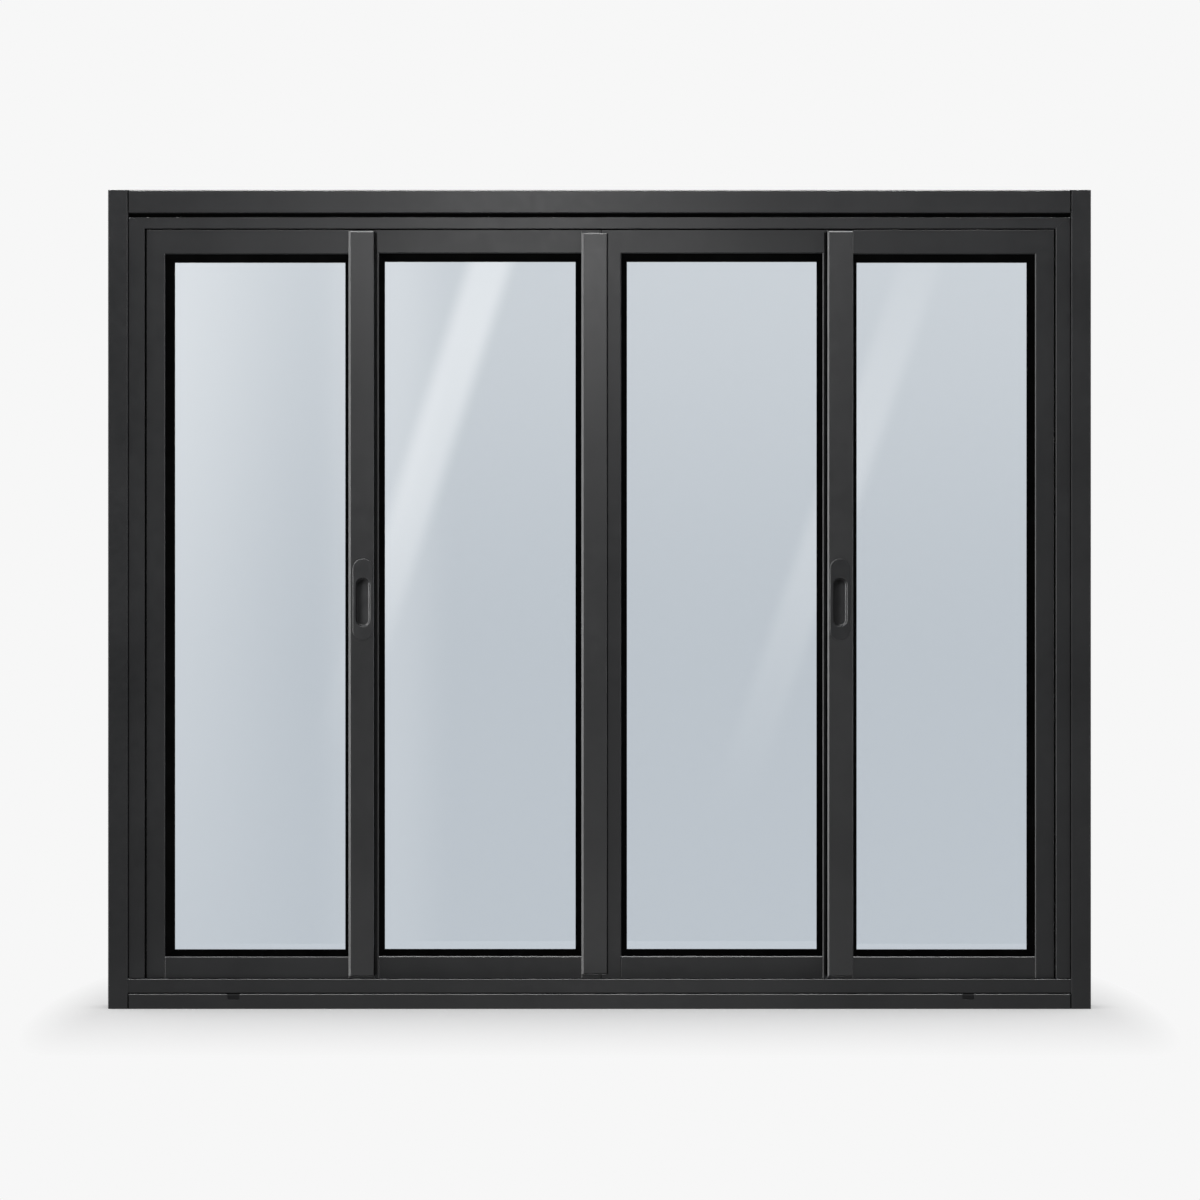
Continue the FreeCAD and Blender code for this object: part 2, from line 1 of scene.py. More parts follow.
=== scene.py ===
import bpy
import bmesh
import json
import math
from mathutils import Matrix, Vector


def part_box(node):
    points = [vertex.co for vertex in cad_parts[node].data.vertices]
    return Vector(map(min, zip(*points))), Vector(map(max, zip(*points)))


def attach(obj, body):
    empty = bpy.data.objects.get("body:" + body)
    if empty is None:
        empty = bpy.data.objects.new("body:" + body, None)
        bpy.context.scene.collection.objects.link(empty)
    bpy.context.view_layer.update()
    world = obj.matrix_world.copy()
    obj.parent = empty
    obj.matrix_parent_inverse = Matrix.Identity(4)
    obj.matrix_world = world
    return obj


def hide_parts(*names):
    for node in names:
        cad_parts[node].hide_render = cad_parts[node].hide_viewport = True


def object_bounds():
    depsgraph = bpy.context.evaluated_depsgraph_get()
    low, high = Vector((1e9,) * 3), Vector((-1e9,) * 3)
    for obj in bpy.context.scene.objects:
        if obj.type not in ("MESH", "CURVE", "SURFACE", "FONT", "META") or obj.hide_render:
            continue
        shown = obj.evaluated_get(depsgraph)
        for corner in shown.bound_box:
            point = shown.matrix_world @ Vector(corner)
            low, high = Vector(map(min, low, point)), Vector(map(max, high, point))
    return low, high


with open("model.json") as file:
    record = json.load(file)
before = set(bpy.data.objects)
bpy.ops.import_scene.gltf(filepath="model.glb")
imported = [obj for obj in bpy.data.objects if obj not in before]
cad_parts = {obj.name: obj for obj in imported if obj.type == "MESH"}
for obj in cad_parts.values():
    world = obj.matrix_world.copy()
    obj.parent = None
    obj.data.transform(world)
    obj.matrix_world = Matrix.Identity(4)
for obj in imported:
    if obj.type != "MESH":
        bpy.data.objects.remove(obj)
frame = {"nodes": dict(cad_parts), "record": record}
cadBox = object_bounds()
nodes = frame["nodes"]
scene = bpy.context.scene
scene.view_settings.view_transform = "Standard"

# The window stands on the floor, centred on x = 0, with its front towards -y.
windowLow, windowHigh = (Vector(corner) for corner in cadBox)
windowWidth = windowHigh.x - windowLow.x
windowHeight = windowHigh.z - windowLow.z
frontPlane = windowLow.y


# Small helpers for node trees and meshes

def addNode(tree, kind, **settings):
    node = tree.nodes.new(kind)
    for name, value in settings.items():
        setattr(node, name, value)
    return node


def newMaterial(name):
    material = bpy.data.materials.new(name)
    material.use_nodes = True
    tree = material.node_tree
    tree.nodes.clear()
    output = addNode(tree, "ShaderNodeOutputMaterial")
    return material, tree, output


def objectPoint(tree):
    return addNode(tree, "ShaderNodeTexCoord").outputs["Object"]


def noise(tree, point, scale, detail=2.0, roughness=0.5):
    texture = addNode(tree, "ShaderNodeTexNoise")
    texture.inputs["Scale"].default_value = scale
    texture.inputs["Detail"].default_value = detail
    texture.inputs["Roughness"].default_value = roughness
    tree.links.new(point, texture.inputs["Vector"])
    return texture.outputs["Fac"]


def remap(tree, value, fromLow, fromHigh, toLow, toHigh, smooth=False):
    node = addNode(tree, "ShaderNodeMapRange")
    if smooth:
        node.interpolation_type = "SMOOTHSTEP"
    node.inputs["From Min"].default_value = fromLow
    node.inputs["From Max"].default_value = fromHigh
    node.inputs["To Min"].default_value = toLow
    node.inputs["To Max"].default_value = toHigh
    tree.links.new(value, node.inputs["Value"])
    return node.outputs["Result"]


def calculate(tree, operation, first, second=None):
    node = addNode(tree, "ShaderNodeMath", operation=operation)
    for socket, value in zip(node.inputs, (first, second)):
        if value is None:
            continue
        if isinstance(value, (int, float)):
            socket.default_value = value
        else:
            tree.links.new(value, socket)
    return node.outputs["Value"]


def mixColours(tree, factor, first, second):
    node = addNode(tree, "ShaderNodeMix", data_type="RGBA")
    tree.links.new(factor, node.inputs["Factor"])
    node.inputs["A"].default_value = (*first, 1)
    node.inputs["B"].default_value = (*second, 1)
    return node.outputs["Result"]


def mixShaders(tree, factor, first, second):
    node = addNode(tree, "ShaderNodeMixShader")
    tree.links.new(factor, node.inputs["Fac"])
    tree.links.new(first, node.inputs[1])
    tree.links.new(second, node.inputs[2])
    return node.outputs["Shader"]


def principledMaterial(name):
    material, tree, output = newMaterial(name)
    shader = addNode(tree, "ShaderNodeBsdfPrincipled")
    tree.links.new(shader.outputs["BSDF"], output.inputs["Surface"])
    return material, tree, shader, objectPoint(tree)


def addGrain(tree, shader, height, grain):
    bump = addNode(tree, "ShaderNodeBump")
    bump.inputs["Strength"].default_value = grain["strength"]
    bump.inputs["Distance"].default_value = grain["depth"]
    tree.links.new(height, bump.inputs["Height"])
    tree.links.new(bump.outputs["Normal"], shader.inputs["Normal"])


def addMesh(name, points, faces, material):
    mesh = bpy.data.meshes.new(name)
    mesh.from_pydata(points, [], faces)
    mesh.materials.append(material)
    item = bpy.data.objects.new(name, mesh)
    scene.collection.objects.link(item)
    return item


# Finishes

# A pattern's size gives the scale and detail of its noise, and its span gives
# the stretch of noise levels over which it changes.
coat = {
    "paint": (0.0112, 0.0116, 0.0125),
    "paintLight": (0.0150, 0.0154, 0.0164),
    "mottleSize": {"scale": 5.0, "detail": 4.0, "roughness": 0.6},
    "mottleSpan": (0.35, 0.65),
    "sheenSize": {"scale": 60.0, "detail": 3.0},
    "sheenSpan": (0.3, 0.7),
    "grainSize": {"scale": 1400.0, "detail": 2.0, "roughness": 0.6},
    "grain": {"strength": 0.35, "depth": 0.00006},
    "roughLow": 0.38,
    "roughHigh": 0.45,
    "gloss": 0.55,
}


def powderCoat(name, lift=1.0, gloss=coat["gloss"], satin=1.0):
    material, tree, shader, point = principledMaterial(name)
    mottle = remap(tree, noise(tree, point, **coat["mottleSize"]), *coat["mottleSpan"], 0, 1)
    # lift lightens or darkens a copy of the coat: painted light or painted shade.
    dark = [channel * lift for channel in coat["paint"]]
    light = [channel * lift for channel in coat["paintLight"]]
    tree.links.new(mixColours(tree, mottle, dark, light), shader.inputs["Base Color"])
    roughLow, roughHigh = coat["roughLow"] * satin, coat["roughHigh"] * satin
    wear = noise(tree, point, **coat["sheenSize"])
    sheen = remap(tree, wear, *coat["sheenSpan"], roughLow, roughHigh)
    tree.links.new(sheen, shader.inputs["Roughness"])
    shader.inputs["Specular IOR Level"].default_value = gloss
    addGrain(tree, shader, noise(tree, point, **coat["grainSize"]), coat["grain"])
    return material


rubber = {
    "black": (0.0007, 0.0007, 0.0008),
    "grey": (0.0018, 0.0018, 0.0020),
    "bloomSize": {"scale": 25.0, "detail": 3.0},
    "bloomSpan": (0.4, 0.7),
    "grainSize": {"scale": 900.0, "detail": 2.0},
    "grain": {"strength": 0.2, "depth": 0.0001},
    "rough": 0.62,
    "gloss": 0.1,
}


# Black rubber, for the gaskets and for the strips of painted shade
def gasketRubber(name):
    material, tree, shader, point = principledMaterial(name)
    bloom = remap(tree, noise(tree, point, **rubber["bloomSize"]), *rubber["bloomSpan"], 0, 1)
    colour = mixColours(tree, bloom, rubber["black"], rubber["grey"])
    tree.links.new(colour, shader.inputs["Base Color"])
    shader.inputs["Roughness"].default_value = rubber["rough"]
    shader.inputs["Specular IOR Level"].default_value = rubber["gloss"]
    addGrain(tree, shader, noise(tree, point, **rubber["grainSize"]), rubber["grain"])
    return material


pane = {
    "tint": (0.550, 0.606, 0.666),
    "tintHigh": (0.558, 0.612, 0.668),
    "tintFoot": 0.1,
    "tintShare": 0.85,
    "cloudSize": {"scale": 1.8, "detail": 3.0},
    "cloudShare": 0.25,
    "ior": 1.7,
}


def tintedGlass(name):
    material, tree, shader, point = principledMaterial(name)
    parts = addNode(tree, "ShaderNodeSeparateXYZ")
    tree.links.new(point, parts.inputs["Vector"])
    cloud = noise(tree, point, **pane["cloudSize"])
    cloud = calculate(tree, "MULTIPLY", cloud, pane["cloudShare"])
    # Painted light: the tint grows a little lighter towards the top, and the cloud varies it at
    # random.
    height = parts.outputs["Z"]
    height = remap(tree, height, pane["tintFoot"], windowHeight, 0, pane["tintShare"])
    blend = calculate(tree, "ADD", height, cloud)
    colour = mixColours(tree, blend, pane["tint"], pane["tintHigh"])
    tree.links.new(colour, shader.inputs["Base Color"])
    shader.inputs["Transmission Weight"].default_value = 1.0
    shader.inputs["IOR"].default_value = pane["ior"]
    shader.inputs["Roughness"].default_value = 0.0
    return material


plastic = {
    "roller": ((0.020, 0.020, 0.021), (0.035, 0.035, 0.036)),
    "block": ((0.012, 0.012, 0.012), (0.020, 0.020, 0.020)),
    "fibre": ((0.004, 0.004, 0.004), (0.012, 0.012, 0.012)),
    "cloudSize": {"scale": 45.0, "detail": 3.0},
    "grainSize": {"scale": 700.0},
    "grain": {"strength": 0.15, "depth": 0.0001},
    "rough": 0.5,
}


def mouldedPlastic(name, colours):
    material, tree, shader, point = principledMaterial(name)
    cloud = noise(tree, point, **plastic["cloudSize"])
    tree.links.new(mixColours(tree, cloud, *colours), shader.inputs["Base Color"])
    shader.inputs["Roughness"].default_value = plastic["rough"]
    addGrain(tree, shader, noise(tree, point, **plastic["grainSize"]), plastic["grain"])
    return material


finishes = {
    "frame_coat": powderCoat("frameCoat"),
    "sash_coat": powderCoat("sashCoat"),
    # The bar coat is painted a little lighter than the rest, painted light, and the pull coat
    # darker, painted shade in the pulls' bowls.
    "bar_coat": powderCoat("barCoat", lift=1.05, gloss=0.85),
    "pull_coat": powderCoat("pullCoat", lift=0.85, gloss=1.0, satin=0.78),
    "glass": tintedGlass("paneGlass"),
    "gasket_rubber": gasketRubber("gasketRubber"),
    "roller_nylon": mouldedPlastic("rollerNylon", plastic["roller"]),
    "block_nylon": mouldedPlastic("blockNylon", plastic["block"]),
}
pileFibre = mouldedPlastic("pileFibre", plastic["fibre"])

for entry in frame["record"]["subparts"]:
    item = nodes[entry["node"]]
    item.data.materials.clear()
    item.data.materials.append(finishes[entry["material_slot"]])
print("finishes are on", len(nodes), "nodes")


# Coated pieces with eased edges, so that edges and joints catch the light

easing = {
    "width": 0.00075,
    "weld": 0.000002,
    "flatAngle": 0.5,
    "sharpAngle": 25,
    "slant": 0.3,
}
bodies = frame["record"]["behaviour"]["bodies"]
bodyOf = {node: body for body, members in bodies.items() for node in members}


def camelName(name):
    first, *rest = name.split("_")
    return first + "".join(word.capitalize() for word in rest)


def standIn(shape, mesh, node):
    # The finished shape becomes an object that stands for its CAD node.
    shape.to_mesh(mesh)
    shape.free()
    item = bpy.data.objects.new(mesh.name, mesh)
    scene.collection.objects.link(item)
    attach(item, bodyOf[node])
    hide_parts(node)
    return item


def isMitre(edge):
    # A mitre's edges run aslant across the front of the window.
    along = (edge.verts[1].co - edge.verts[0].co).normalized()
    return min(abs(along.x), abs(along.z)) > easing["slant"]


def easedCopy(node):
    # The edges of a mitre stay sharp, because they lie against each other.
    mesh = nodes[node].data.copy()
    mesh.name = camelName(node) + "Eased"
    shape = bmesh.new()
    shape.from_mesh(mesh)
    bmesh.ops.remove_doubles(shape, verts=shape.verts, dist=easing["weld"])
    flat, sharpest = math.radians(easing["flatAngle"]), math.radians(easing["sharpAngle"])
    bmesh.ops.dissolve_limit(shape, angle_limit=flat, verts=shape.verts, edges=shape.edges)
    sharp = [edge for edge in shape.edges
             if edge.is_manifold and edge.calc_face_angle() > sharpest and not isMitre(edge)]
    bmesh.ops.bevel(shape, geom=sharp, offset=easing["width"], offset_type="OFFSET", segments=1,
                    affect="EDGES", clamp_overlap=True)
    for face in shape.faces:
        face.smooth = False
    return standIn(shape, mesh, node)


# Flush pulls: rings lofted from the bowl's floor, over rim and plate, to the shell behind

pull = {
    "plate": 0.0020,
    "edge": 0.0014,
    "bowlLength": 0.0886,
    "bowlWidth": 0.0246,
    "bowlDepth": 0.0125,
    "bowlDrop": 0.0050,
    "bowlWall": 0.0015,
    "draft": 0.0004,
    "scoopWide": 0.0024,
    "scoopDeep": 0.0024,
    "rim": 0.0016,
    "roundSteps": 6,
    "endSteps": 24,
}


def pullRings(low, high):
    # Each ring: its radius, half its straight part, its middle height, its
    # depth, and whether it is a sharp edge
    plateRadius = (high.x - low.x) / 2
    plateHalf = (high.z - low.z) / 2 - plateRadius
    plateMiddle = (low.z + high.z) / 2
    bowlRadius = pull["bowlWidth"] / 2
    bowlHalf = pull["bowlLength"] / 2 - bowlRadius
    bowlMiddle = plateMiddle - pull["bowlDrop"]
    floor = low.y + pull["bowlDepth"]
    wallFoot = bowlRadius - pull["draft"]
    rim, edge = pull["rim"], pull["edge"]
    steps = pull["roundSteps"]
    quarter = [math.radians(90 * step / steps) for step in range(steps + 1)]
    rings = []
    for turn in quarter:
        radius = wallFoot - pull["scoopWide"] * (1 - math.sin(turn))
        depth = floor - pull["scoopDeep"] * (1 - math.cos(turn))
        rings.append((radius, bowlHalf, bowlMiddle, depth, False))
    for turn in quarter:
        radius = bowlRadius + rim * (1 - math.cos(turn))
        depth = low.y + rim * (1 - math.sin(turn))
        rings.append((radius, bowlHalf, bowlMiddle, depth, turn == quarter[-1]))
    for turn in quarter:
        radius = plateRadius - edge * (1 - math.sin(turn))
        depth = low.y + edge * (1 - math.cos(turn))
        rings.append((radius, plateHalf, plateMiddle, depth, turn == quarter[0]))
    shellRadius = bowlRadius + pull["bowlWall"]
    plateBack = low.y + pull["plate"]
    rings.append((plateRadius, plateHalf, plateMiddle, plateBack, True))
    rings.append((shellRadius, bowlHalf, bowlMiddle, plateBack, True))
    rings.append((shellRadius, bowlHalf, bowlMiddle, high.y, True))
    return rings


def flushPull(node, slot):
    low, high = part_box(node)
    middle = (low.x + high.x) / 2
    mesh = bpy.data.meshes.new(camelName(node) + "Lofted")
    mesh.materials.append(finishes[slot])
    shape = bmesh.new()
    loops = []
    for radius, half, height, depth, sharp in pullRings(low, high):
        loop = []
        for end, start in ((1, 0), (-1, 180)):
            for step in range(pull["endSteps"] + 1):
                turn = math.radians(start + 180 * step / pull["endSteps"])
                x = middle + radius * math.cos(turn)
                z = height + end * half + radius * math.sin(turn)
                loop.append(shape.verts.new((x, depth, z)))
        loops.append((loop, sharp))
    count = len(loops[0][0])
    for (first, _), (second, _) in zip(loops, loops[1:]):
        for i in range(count):
            after = (i + 1) % count
            shape.faces.new((first[i], first[after], second[after], second[i])).smooth = True
    shape.faces.new(loops[0][0]).smooth = True
    shape.faces.new(loops[-1][0])
    for loop in [loop for loop, sharp in loops if sharp]:
        for i in range(count):
            shape.edges.get((loop[i], loop[(i + 1) % count])).smooth = False
    bmesh.ops.recalc_face_normals(shape, faces=shape.faces)
    return standIn(shape, mesh, node)


coatPieces = []
pullPieces = []
for entry in frame["record"]["subparts"]:
    node, slot = entry["node"], entry["material_slot"]
    if slot == "pull_coat":
        pullPieces.append(flushPull(node, slot))
    elif slot.endswith("_coat"):
        coatPieces.append(easedCopy(node))
print("eased", len(coatPieces), "coated pieces and lofted", len(pullPieces), "pulls")


# Brush seals: a tape with rows of fibres, laid along a line by Geometry Nodes

pile = {
    "spacing": 0.0028,
    "rows": 2,
    "rowGap": 0.0016,
    "fibreSides": 4,
    "fibreRadius": 0.00055,
    "tapeWidth": 0.0060,
    "tapeThickness": 0.0008,
    "lean": 0.12,
    "seed": 7,
    "clear": 0.0004,
}


def pileTree():
    tree = bpy.data.node_groups.new("pileRow", "GeometryNodeTree")
    interface = tree.interface
    for name, kind in (("Start", "Vector"), ("End", "Vector"), ("Reach", "Vector"),
                       ("Spacing", "Float"), ("Fibre Radius", "Float"), ("Lean", "Float"),
                       ("Seed", "Int"), ("Fibre Material", "Material")):
        interface.new_socket(name=name, in_out="INPUT", socket_type="NodeSocket" + kind)
    interface.new_socket(name="Geometry", in_out="OUTPUT", socket_type="NodeSocketGeometry")
    link = tree.links.new
    given = addNode(tree, "NodeGroupInput").outputs
    line = addNode(tree, "GeometryNodeCurvePrimitiveLine")
    link(given["Start"], line.inputs["Start"])
    link(given["End"], line.inputs["End"])
    spread = addNode(tree, "GeometryNodeCurveToPoints", mode="LENGTH")
    link(line.outputs["Curve"], spread.inputs["Curve"])
    link(given["Spacing"], spread.inputs["Length"])
    # A fibre is a thin cone of few sides, as long as the reach.
    size = addNode(tree, "ShaderNodeVectorMath", operation="LENGTH")
    link(given["Reach"], size.inputs[0])
    fibre = addNode(tree, "GeometryNodeMeshCone", fill_type="NONE")
    fibre.inputs["Vertices"].default_value = pile["fibreSides"]
    link(given["Fibre Radius"], fibre.inputs["Radius Bottom"])
    link(size.outputs["Value"], fibre.inputs["Depth"])
    # Each fibre points along the reach and leans a little at random.
    lean = addNode(tree, "FunctionNodeRandomValue", data_type="FLOAT_VECTOR")
    opposite = calculate(tree, "MULTIPLY", given["Lean"], -1.0)
    low = addNode(tree, "ShaderNodeCombineXYZ")
    high = addNode(tree, "ShaderNodeCombineXYZ")
    for axis in ("X", "Z"):
        link(opposite, low.inputs[axis])
        link(given["Lean"], high.inputs[axis])
    link(low.outputs["Vector"], lean.inputs["Min"])
    link(high.outputs["Vector"], lean.inputs["Max"])
    link(given["Seed"], lean.inputs["Seed"])
    unit = addNode(tree, "ShaderNodeVectorMath", operation="NORMALIZE")
    link(given["Reach"], unit.inputs[0])
    heading = addNode(tree, "ShaderNodeVectorMath", operation="ADD")
    link(unit.outputs["Vector"], heading.inputs[0])
    link(lean.outputs["Value"], heading.inputs[1])
    turn = addNode(tree, "FunctionNodeAlignRotationToVector", axis="Z")
    link(heading.outputs["Vector"], turn.inputs["Vector"])
    place = addNode(tree, "GeometryNodeInstanceOnPoints")
    link(spread.outputs["Points"], place.inputs["Points"])
    link(fibre.outputs["Mesh"], place.inputs["Instance"])
    link(turn.outputs["Rotation"], place.inputs["Rotation"])
    real = addNode(tree, "GeometryNodeRealizeInstances")
    link(place.outputs["Instances"], real.inputs["Geometry"])
    paint = addNode(tree, "GeometryNodeSetMaterial")
    link(real.outputs["Geometry"], paint.inputs["Geometry"])
    link(given["Fibre Material"], paint.inputs["Material"])
    link(paint.outputs["Geometry"], addNode(tree, "NodeGroupOutput").inputs["Geometry"])
    return tree


pileRow = pileTree()


def setInput(modifier, name, value):
    for socket in modifier.node_group.interface.items_tree:
        if socket.in_out == "INPUT" and socket.name == name:
            modifier[socket.identifier] = value


def fibreRow(start, end, reach, seed):
    # One row as a plain mesh, read from the evaluated tree.
    holder = bpy.data.objects.new("pileHolder", bpy.data.meshes.new("pileHolder"))
    scene.collection.objects.link(holder)
    modifier = holder.modifiers.new("pileRow", "NODES")
    modifier.node_group = pileRow
    inputs = {"Start": start, "End": end, "Reach": reach, "Seed": seed,
              "Spacing": pile["spacing"], "Fibre Radius": pile["fibreRadius"],
              "Lean": pile["lean"], "Fibre Material": pileFibre}
    for name, value in inputs.items():
        setInput(modifier, name, value)
    graph = bpy.context.evaluated_depsgraph_get()
    mesh = bpy.data.meshes.new_from_object(holder.evaluated_get(graph))
    bpy.data.objects.remove(holder)
    return mesh


def tapeBox(start, end, reach, across):
    # The tape that the fibres stand in, as an eight-cornered bar.
    side = across * (pile["tapeWidth"] / 2)
    thick = reach.normalized() * pile["tapeThickness"]
    corners = []
    for base in (start, end):
        corners += [base - side, base + side, base + side + thick, base - side + thick]
    faces = [(0, 1, 2, 3), (7, 6, 5, 4), (0, 4, 5, 1), (1, 5, 6, 2), (2, 6, 7, 3), (3, 7, 4, 0)]
    return corners, faces


def brushSeals(name, lines, body):
    shape = bmesh.new()
    seed = pile["seed"]
    for start, end, reach in lines:
        start, end, reach = Vector(start), Vector(end), Vector(reach)
        across = (end - start).normalized().cross(reach.normalized())
        corners, faces = tapeBox(start, end, reach, across)
        verts = [shape.verts.new(corner) for corner in corners]
        for face in faces:
            shape.faces.new([verts[index] for index in face])
        for row in range(pile["rows"]):
            shift = across * pile["rowGap"] * (row - (pile["rows"] - 1) / 2)
            mesh = fibreRow(start + shift, end + shift, reach, seed)
            seed += 1
            shape.from_mesh(mesh)
            bpy.data.meshes.remove(mesh)
    bmesh.ops.recalc_face_normals(shape, faces=shape.faces)
    mesh = bpy.data.meshes.new(name)
    shape.to_mesh(mesh)
    shape.free()
    mesh.materials.append(pileFibre)
    item = bpy.data.objects.new(name, mesh)
    scene.collection.objects.link(item)
    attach(item, body)
    return item


tape = {
    "inset": 0.006,
    "endGap": 0.002,
    "lipGap": 0.005,
    "sillLipBack": 0.0075,
    "finHalf": 0.0015,
    "finFoot": 0.003,
    "tongueHalf": 0.005,
    "jambGap": 0.004,
    "lapShare": 0.32,
}


def sealLines():
    # Where the tapes lie, worked out from the boxes of the frame and sashes.
    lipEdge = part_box("frame_jamb_left")[1].x
    headLow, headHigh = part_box("frame_head")
    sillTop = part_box("frame_sill")[1].z
    sashLow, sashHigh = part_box("left_sash_top_rail")
    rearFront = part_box("centre_left_sash_top_rail")[0].y
    end = headHigh.x - tape["endGap"]
    lipBack = sashLow.y - tape["lipGap"]
    sillLipBack = frontPlane + tape["sillLipBack"]
    topLine = headLow.z + tape["inset"]
    footLine = sillTop - tape["inset"]
    finHalf, clear = tape["finHalf"], pile["clear"]
    lines = []
    # On the lips, towards the sliding sashes
    for back, level in ((lipBack, topLine), (sillLipBack, footLine)):
        lines.append(((-end, back, level), (end, back, level), (0, sashLow.y - back - clear, 0)))
    # On both sides of the fins between the tracks
    for level in (topLine, footLine - tape["finFoot"]):
        frontReach = sashHigh.y + finHalf + clear
        rearReach = rearFront - finHalf - clear
        lines.append(((-end, -finHalf, level), (end, -finHalf, level), (0, frontReach, 0)))
        lines.append(((-end, finHalf, level), (end, finHalf, level), (0, rearReach, 0)))
    # On the lips of the jambs, towards the tongues of the sliding sashes
    tongueFront = (sashLow.y + sashHigh.y) / 2 - tape["tongueHalf"]
    for side in (-1, 1):
        x = side * (abs(lipEdge) + tape["inset"])
        low = (x, lipBack, sillTop + tape["jambGap"])
        high = (x, lipBack, headLow.z - tape["jambGap"])
        lines.append((low, high, (0, tongueFront - lipBack - clear, 0)))
    return lines


def lapLine(coverNode, side):
    # Behind the inner edge of a sliding sash, towards the fixed sash.
    low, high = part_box(coverNode)
    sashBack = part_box("left_sash_top_rail")[1].y
    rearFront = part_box("centre_left_sash_top_rail")[0].y
    x = (high.x if side > 0 else low.x) + side * pile["tapeWidth"] * tape["lapShare"]
    return (x, sashBack, low.z), (x, sashBack, high.z), (0, rearFront - sashBack - pile["clear"], 0)


sealsOf = {
    "frame": sealLines(),
    "left_sash": [lapLine("left_sash_cover", 1)],
    "right_sash": [lapLine("right_sash_cover", -1)],
}
for body, lines in sealsOf.items():
    seals = brushSeals(camelName(body) + "BrushSeals", lines, body)
    print(seals.name, "has", len(seals.data.polygons), "faces")


# Painted shade: black rubber strips in the joints, gaps and corners of the coated pieces

# The first six are the sizes of the frame's sections, and the others are the
# shade strips' own.
shadeStrips = {
    "headFace": 0.042,
    "groove": 0.0079,
    "sillFace": 0.0272,
    "sillLipFront": 0.0050,
    "lipFront": 0.0095,
    "lipDepth": 0.0025,
    "grooveBack": 0.0035,
    "grooveDepth": 0.0050,
    "corner": 0.0016,
    "proud": 0.0010,
    "foot": 0.0022,
    "leftLipSeal": 0.0040,
    "rightLipSeal": 0.0036,
    "headSeal": 0.0027,
    "sillSeal": 0.0015,
    "lipSealThick": 0.0013,
    "jointWidth": 0.0026,
    "jointReach": 0.0004,
    "jointSink": 0.0001,
    "jointDepth": 0.0009,
    "leftLap": 0.0014,
    "rightLap": 0.0030,
    "coverSeal": 0.0016,
    "lapFront": 0.0010,
    "lapBack": 0.0050,
    "coverDepth": 0.0025,
    "centreReach": 0.0050,
    "centreFoot": 0.0150,
    "centreTop": 0.0140,
    "grooveGap": 0.0002,
    "jointEnd": 0.0005,
    "overlap": 0.0010,
    "ease": 0.0003,
    "longEdge": 0.1,
}


def shadeStrip(name, low, high, body="frame"):
    # A black rubber bar of painted shade between two corners, with its long edges eased.
    shape = bmesh.new()
    bmesh.ops.create_cube(shape, size=1.0)
    low, high = Vector(low), Vector(high)
    for vert in shape.verts:
        vert.co = Vector([low[i] + (vert.co[i] + 0.5) * (high[i] - low[i]) for i in range(3)])
    longAxis = max(range(3), key=lambda i: high[i] - low[i])
    edges = [edge for edge in shape.edges
             if abs(edge.verts[0].co[longAxis] - edge.verts[1].co[longAxis]) > shadeStrips["longEdge"]]
    bmesh.ops.bevel(shape, geom=edges, offset=shadeStrips["ease"], offset_type="OFFSET", segments=2,
                    affect="EDGES", clamp_overlap=True)
    mesh = bpy.data.meshes.new(name)
    shape.to_mesh(mesh)
    shape.free()
    mesh.materials.append(finishes["gasket_rubber"])
    item = bpy.data.objects.new(name, mesh)
    scene.collection.objects.link(item)
    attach(item, body)
    return item


def frameShadeStrips():
    # The faces and lips of the frame's four bars are measured from their boxes.
    headLow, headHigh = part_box("frame_head")
    sillLow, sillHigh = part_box("frame_sill")
    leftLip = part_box("frame_jamb_left")[1].x
    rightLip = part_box("frame_jamb_right")[0].x
    headFace = headHigh.z - shadeStrips["headFace"]
    grooveTop = headFace - shadeStrips["groove"]
    sillFace = sillLow.z + shadeStrips["sillFace"]
    lipFront = frontPlane + shadeStrips["lipFront"]
    lipBack = lipFront + shadeStrips["lipDepth"]
    sillLipFront = frontPlane + shadeStrips["sillLipFront"]
    sillLipBack = sillLipFront + shadeStrips["lipDepth"]
    corner, proud, overlap = shadeStrips["corner"], shadeStrips["proud"], shadeStrips["overlap"]
    thick = shadeStrips["lipSealThick"]
    left, right = headLow.x, headHigh.x
    grooveFront = lipFront + shadeStrips["grooveBack"]
    # Painted shade in the head's groove, under the lips, in the sill's corner, and in the joints of
    # the head and sill with the jambs
    shadeStrip("headGrooveBead", (left, grooveFront, grooveTop + shadeStrips["grooveGap"]),
         (right, grooveFront + shadeStrips["grooveDepth"], headFace - shadeStrips["grooveGap"]))
    shadeStrip("headLipSeal", (leftLip, lipBack, headLow.z - shadeStrips["headSeal"]),
         (rightLip, lipBack + thick, headLow.z + overlap))
    shadeStrip("sillCornerBead", (left, sillLipFront - proud, sillFace),
         (right, sillLipFront, sillFace + shadeStrips["foot"]))
    shadeStrip("sillLipSeal", (left, sillLipBack, sillHigh.z - overlap),
         (right, sillLipBack + thick, sillHigh.z + shadeStrips["sillSeal"]))
    jointFront = frontPlane + shadeStrips["jointSink"]
    jointBack = jointFront + shadeStrips["jointDepth"]
    jointTop = headHigh.z - shadeStrips["jointEnd"]
    jointFoot = sillLow.z + shadeStrips["jointEnd"]
    for side, name, end, lip in ((-1, "left", left, leftLip), (1, "right", right, rightLip)):
        inner = end - side * corner
        shadeStrip(name + "CornerBead", (min(end, inner), lipFront - proud, sillHigh.z),
             (max(end, inner), lipFront, grooveTop))
        edge = lip - side * shadeStrips[name + "LipSeal"]
        root = lip + side * overlap
        shadeStrip(name + "LipSeal", (min(edge, root), lipBack, sillHigh.z),
             (max(edge, root), lipBack + thick, headLow.z))
        outer = end + side * shadeStrips["jointReach"]
        joint = end - side * shadeStrips["jointWidth"]
        low, high = min(outer, joint), max(outer, joint)
        shadeStrip(name + "HeadJoint", (low, jointFront, headFace), (high, jointBack, jointTop))
        shadeStrip(name + "SillJoint", (low, jointFront, jointFoot), (high, jointBack, sillFace))


